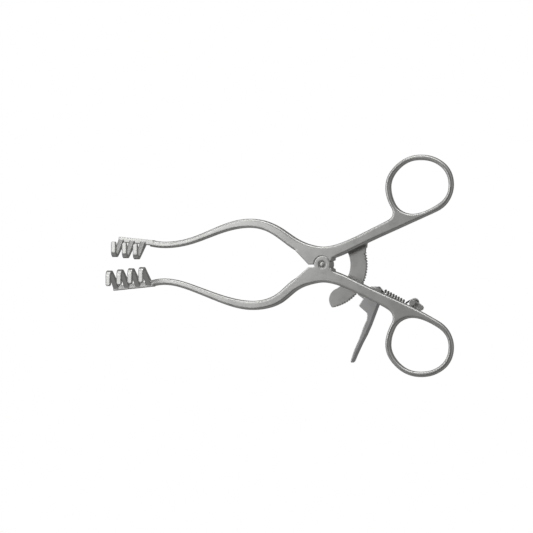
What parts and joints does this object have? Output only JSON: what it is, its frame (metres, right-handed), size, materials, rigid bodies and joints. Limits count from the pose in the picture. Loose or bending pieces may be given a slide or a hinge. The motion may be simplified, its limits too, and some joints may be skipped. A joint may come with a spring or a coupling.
{
  "type": "self retaining retractor",
  "caption": "Hinged surgical retractor with bowed arms, blunt hook prongs, finger rings, a curved ratchet bar and a sprung release lever that holds the wound open.",
  "frame": {"origin": "on the hinge axis of the two arms, in the flat front face of the lap joint", "axes": "+X from the joint towards the finger rings, +Y towards the upper arm, +Z out of the front face, to the side the prongs hook towards"},
  "size_m": [0.1635, 0.1002, 0.0189],
  "materials": {
    "satin_steel": "satin, glass-bead blasted stainless steel",
    "polished_steel": "polished stainless steel",
    "spring_steel": "drawn stainless spring wire",
    "fastener_steel": "turned stainless steel"
  },
  "bodies": {
    "lower_arm": {"lower_arm": "satin_steel", "joint_screw": "fastener_steel", "lever_screw": "fastener_steel", "lever_washer": "fastener_steel", "spring_post": "polished_steel", "post_rivet": "fastener_steel", "return_spring": "spring_steel"},
    "upper_arm": {"upper_arm": "satin_steel", "ratchet_bar": "satin_steel", "ratchet_rivet_inner": "fastener_steel", "ratchet_rivet_outer": "fastener_steel"},
    "release_lever": {"release_lever": "satin_steel", "lever_stud": "fastener_steel"}
  },
  "joints": [
    {"name": "spread", "type": "hinge", "parent": "lower_arm", "child": "upper_arm", "pos_m": [0, 0, 0], "axis": [0, 0, -1], "range_deg": [-3.75, 41.25]},
    {"name": "lever_release", "type": "hinge", "parent": "lower_arm", "child": "release_lever", "pos_m": [0.0233, -0.0132, -0.006], "axis": [0, 0, 1], "range_deg": [-5, 14], "stiffness_Nm_per_rad": 0.008, "springref_deg": -45.84, "deforming": ["return_spring"]}
  ]
}
